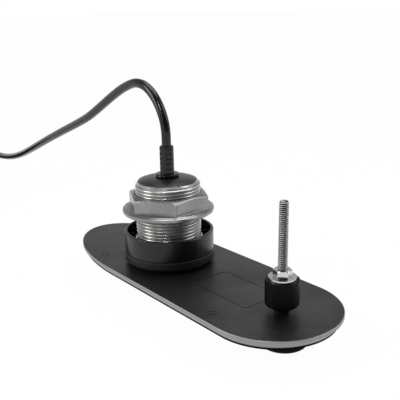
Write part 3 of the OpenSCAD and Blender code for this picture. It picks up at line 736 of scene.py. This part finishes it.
def slim(x, y):
    """Moves a point of a round-ended plate onto one whose far end is a long oval."""
    if x >= OVAL_FROM:
        return x, y
    u = min(1.0, (OVAL_FROM - x) / (PLATE_CORE + PLATE_HALF + OVAL_FROM))
    past = max(0.0, -x - PLATE_CORE)
    width = math.sqrt(max(PLATE_HALF**2 - past**2, 1e-12))
    oval = PLATE_HALF * math.sqrt(1.0 - u * u)
    share = ease((math.hypot(past, y) / PLATE_HALF - OVAL_BLEND[0]) / OVAL_BLEND[1])
    return OVAL_FROM - OVAL_REACH * u, y * (1.0 + (oval / width - 1.0) * share)


def slimmed(node):
    """A copy of a node's mesh with the oval far end."""
    bm = bmesh.new()
    plain = nodes[node].data.copy()
    for layer in [a.name for a in plain.attributes if a.name in COPIED_SHADING]:
        plain.attributes.remove(plain.attributes[layer])
    bm.from_mesh(plain)
    bpy.data.meshes.remove(plain)
    bmesh.ops.remove_doubles(bm, verts=bm.verts, dist=1e-6)
    for k in range(OVAL_CUTS):
        geom = list(bm.verts) + list(bm.edges) + list(bm.faces)
        place = (OVAL_FROM - OVAL_CUT_STEP * k, 0, 0)
        bmesh.ops.bisect_plane(bm, geom=geom, dist=1e-7, plane_co=place, plane_no=(1, 0, 0))
    for vert in bm.verts:
        vert.co.x, vert.co.y = slim(vert.co.x, vert.co.y)
    return bm


def plate_line(grow):
    """Points round the plate, a little outside or inside its edge."""
    out = []
    r = PLATE_HALF + grow
    for k in range(NEAR_STEPS + 1):
        a = math.radians(-90 + 180 * k / NEAR_STEPS)
        out.append((PLATE_CORE + r * math.cos(a), r * math.sin(a)))
    for k in range(1, SIDE_STEPS):
        out.append((PLATE_CORE - 2 * PLATE_CORE * k / SIDE_STEPS, r))
    for k in range(FAR_STEPS + 1):
        a = math.radians(90 + 180 * k / FAR_STEPS)
        out.append((-PLATE_CORE + r * math.cos(a), r * math.sin(a)))
    for k in range(1, SIDE_STEPS):
        out.append((-PLATE_CORE + 2 * PLATE_CORE * k / SIDE_STEPS, -r))
    return [slim(x, y) for x, y in out]


def add_plate():
    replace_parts(to_object("bedding_pad", slimmed("top_pad"), "pad_plastic", 1.0), "top_pad")
    bm = slimmed("acoustic_window")
    for vert in bm.verts:
        x, y, z = vert.co
        if z < POD_TOP and x < POD_BOX[0] and abs(y) < POD_BOX[1]:
            vert.co.x += POD_REACH * ease((x - POD_GROWS[0]) / POD_GROWS[1])
    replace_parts(to_object("pod_window", bm, "window_plastic"), "acoustic_window")

    bm = slimmed("housing_plate")
    root = PAD_LOW - EDGE_ROOT
    top = PAD_HIGH - EDGE_DROP
    section = (
        (EDGE_OUT, root),
        (EDGE_OUT, top - EDGE_BEVEL),
        (EDGE_OUT - EDGE_BEVEL, top),
        (EDGE_IN, top),
        (EDGE_IN, root),
    )
    rings = [[bm.verts.new((x, y, z)) for x, y in plate_line(grow)] for grow, z in section]
    for k in range(len(rings)):
        skin(bm, rings[k], rings[(k + 1) % len(rings)])
    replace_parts(to_object("edged_plate", bm, "housing_metal"), "housing_plate")


# Strap round the coil
TIE_AT = math.radians(185.0)
TIE_ARC = math.radians(16.0)
TIE_THICK = 1.2
TIE_STEPS = 12
TIE_EDGE = 0.75
TIE_CLEAR = 0.05


def add_tie():
    """Strap closed round the turns of the coil, with rolled edges."""
    bm = bmesh.new()
    half_w = COIL_COLUMNS * CABLE_DIAMETER / MM / 2
    half_h = COIL_LAYERS * CABLE_DIAMETER / MM / 2
    corner = CABLE_DIAMETER / MM / 2
    middle_z = COIL_LIFT + half_h

    def section(grow):
        out = []
        for cx, cz, first in ((1, 1, 0), (-1, 1, 90), (-1, -1, 180), (1, -1, 270)):
            for k in range(7):
                a = math.radians(first + 90 * k / 6)
                out.append((
                    COIL_MIDDLE + cx * (half_w - corner) + (corner + grow) * math.cos(a),
                    middle_z + cz * (half_h - corner) + (corner + grow) * math.sin(a),
                ))
        return out

    def band(share, grow):
        angle = TIE_AT + TIE_ARC * (share - 0.5)
        return [
            bm.verts.new((
                (COIL_AT[0] + r * math.cos(angle)) * MM, (COIL_AT[1] + r * math.sin(angle)) * MM, z * MM
            ))
            for r, z in section(grow)
        ]

    thick = [TIE_THICK * (TIE_EDGE if k in (0, TIE_STEPS) else 1.0) for k in range(TIE_STEPS + 1)]
    outer = [band(k / TIE_STEPS, thick[k]) for k in range(TIE_STEPS + 1)]
    inner = [band(share, TIE_CLEAR) for share in (1.0, 0.0)]
    loops = outer + inner
    for k in range(len(loops)):
        skin(bm, loops[k], loops[(k + 1) % len(loops)])
    obj = to_object("coil_strap", bm, "tie_fabric", 50.0)
    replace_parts(obj, "coil_tie")
    return obj


# Stage and light
WORLD_BACK = 0.85
WORLD_FRONT = 0.07
WORLD_HIGH = 0.45
FLOOR_REACH = 25.0
FLOOR_GLOW = 0.975


def add_stage():
    mesh = bpy.data.meshes.new("floor")
    corners = [(FLOOR_REACH * x, FLOOR_REACH * y, 0) for x, y in ((-1, -1), (1, -1), (1, 1), (-1, 1))]
    mesh.from_pydata(corners, [], [(0, 1, 2, 3)])
    floor = bpy.data.objects.new("floor", mesh)
    scene.collection.objects.link(floor)
    material = bpy.data.materials.new("floor_white")
    material.use_nodes = True
    tree = material.node_tree
    tree.nodes.clear()
    diffuse = tree.nodes.new("ShaderNodeBsdfDiffuse")
    diffuse.inputs["Color"].default_value = (0.85, 0.85, 0.85, 1.0)
    glow = tree.nodes.new("ShaderNodeEmission")
    glow.inputs["Color"].default_value = (1.0, 1.0, 1.0, 1.0)
    glow.inputs["Strength"].default_value = 1.0
    path = tree.nodes.new("ShaderNodeLightPath")
    either = tree.nodes.new("ShaderNodeMath")
    either.operation = "MAXIMUM"
    tree.links.new(path.outputs["Is Camera Ray"], either.inputs[0])
    tree.links.new(path.outputs["Is Glossy Ray"], either.inputs[1])
    share = tree.nodes.new("ShaderNodeMath")
    share.operation = "MULTIPLY"
    share.inputs[1].default_value = FLOOR_GLOW
    tree.links.new(either.outputs["Value"], share.inputs[0])
    mix = tree.nodes.new("ShaderNodeMixShader")
    tree.links.new(share.outputs["Value"], mix.inputs["Fac"])
    tree.links.new(diffuse.outputs["BSDF"], mix.inputs[1])
    tree.links.new(glow.outputs["Emission"], mix.inputs[2])
    out = tree.nodes.new("ShaderNodeOutputMaterial")
    tree.links.new(mix.outputs["Shader"], out.inputs["Surface"])
    mesh.materials.append(material)


def add_world():
    """White where it is looked at. As light, a bright sweep behind the object that darkens to the front."""
    world = bpy.data.worlds.new("studio")
    scene.world = world
    world.use_nodes = True
    tree = world.node_tree
    tree.nodes.clear()
    path = tree.nodes.new("ShaderNodeLightPath")
    seen = tree.nodes.new("ShaderNodeBackground")
    seen.inputs["Color"].default_value = (1.0, 1.0, 1.0, 1.0)
    seen.inputs["Strength"].default_value = 1.0
    light = tree.nodes.new("ShaderNodeBackground")
    light.inputs["Color"].default_value = (1.0, 1.0, 1.0, 1.0)
    towards = tree.nodes.new("ShaderNodeVectorMath")
    towards.operation = "DOT_PRODUCT"
    towards.inputs[1].default_value = (math.sin(CAMERA_AZIMUTH), -math.cos(CAMERA_AZIMUTH), 0.0)
    place = tree.nodes.new("ShaderNodeTexCoord").outputs["Generated"]
    tree.links.new(place, towards.inputs[0])
    height = tree.nodes.new("ShaderNodeSeparateXYZ")
    tree.links.new(place, height.inputs["Vector"])
    level = tree.nodes.new("ShaderNodeMath")
    level.operation = "MULTIPLY"
    sweep = remap(tree, towards.outputs["Value"], WORLD_BACK, WORLD_FRONT, -0.3, 0.7)
    fade = remap(tree, height.outputs["Z"], 1.0, WORLD_HIGH, 0.12, 0.5)
    tree.links.new(sweep, level.inputs[0])
    tree.links.new(fade, level.inputs[1])
    tree.links.new(level.outputs["Value"], light.inputs["Strength"])
    either = tree.nodes.new("ShaderNodeMath")
    either.operation = "MAXIMUM"
    tree.links.new(path.outputs["Is Camera Ray"], either.inputs[0])
    tree.links.new(path.outputs["Is Transmission Ray"], either.inputs[1])
    mix = tree.nodes.new("ShaderNodeMixShader")
    tree.links.new(either.outputs["Value"], mix.inputs["Fac"])
    tree.links.new(light.outputs["Background"], mix.inputs[1])
    tree.links.new(seen.outputs["Background"], mix.inputs[2])
    out = tree.nodes.new("ShaderNodeOutputWorld")
    tree.links.new(mix.outputs["Shader"], out.inputs["Surface"])


def add_lamp(name, place, target, size, power):
    data = bpy.data.lights.new(name, "AREA")
    data.shape = "RECTANGLE"
    data.size, data.size_y = size
    data.energy = power
    lamp = bpy.data.objects.new(name, data)
    lamp.location = place
    aim = Vector(target) - Vector(place)
    lamp.rotation_euler = aim.to_track_quat("-Z", "Y").to_euler()
    scene.collection.objects.link(lamp)


add_camera()
lead, lead_length = add_lead()
tie = add_tie()
add_plate()
add_stem()
add_stud()
add_hull_nut()
add_gasket()
add_stud_nut()

add_stage()
add_world()
MIDDLE = (0.0, 0.0, 0.05)
add_lamp("key", (0.55, 0.75, 0.75), MIDDLE, (0.5, 0.7), 3.0)
add_lamp("left", (-0.45, -0.84, 0.55), MIDDLE, (0.45, 0.8), 5.6)
add_lamp("strip", (0.25, -0.86, 0.45), MIDDLE, (0.18, 0.7), 1.0)
add_lamp("front", (0.40, -0.56, 0.84), (-0.04, 0.0, 0.14), (0.04, 0.3), 1.8)
add_lamp("top", (-0.2, 0.25, 1.1), MIDDLE, (0.75, 0.75), 5.5)

scene.view_settings.view_transform = "Standard"
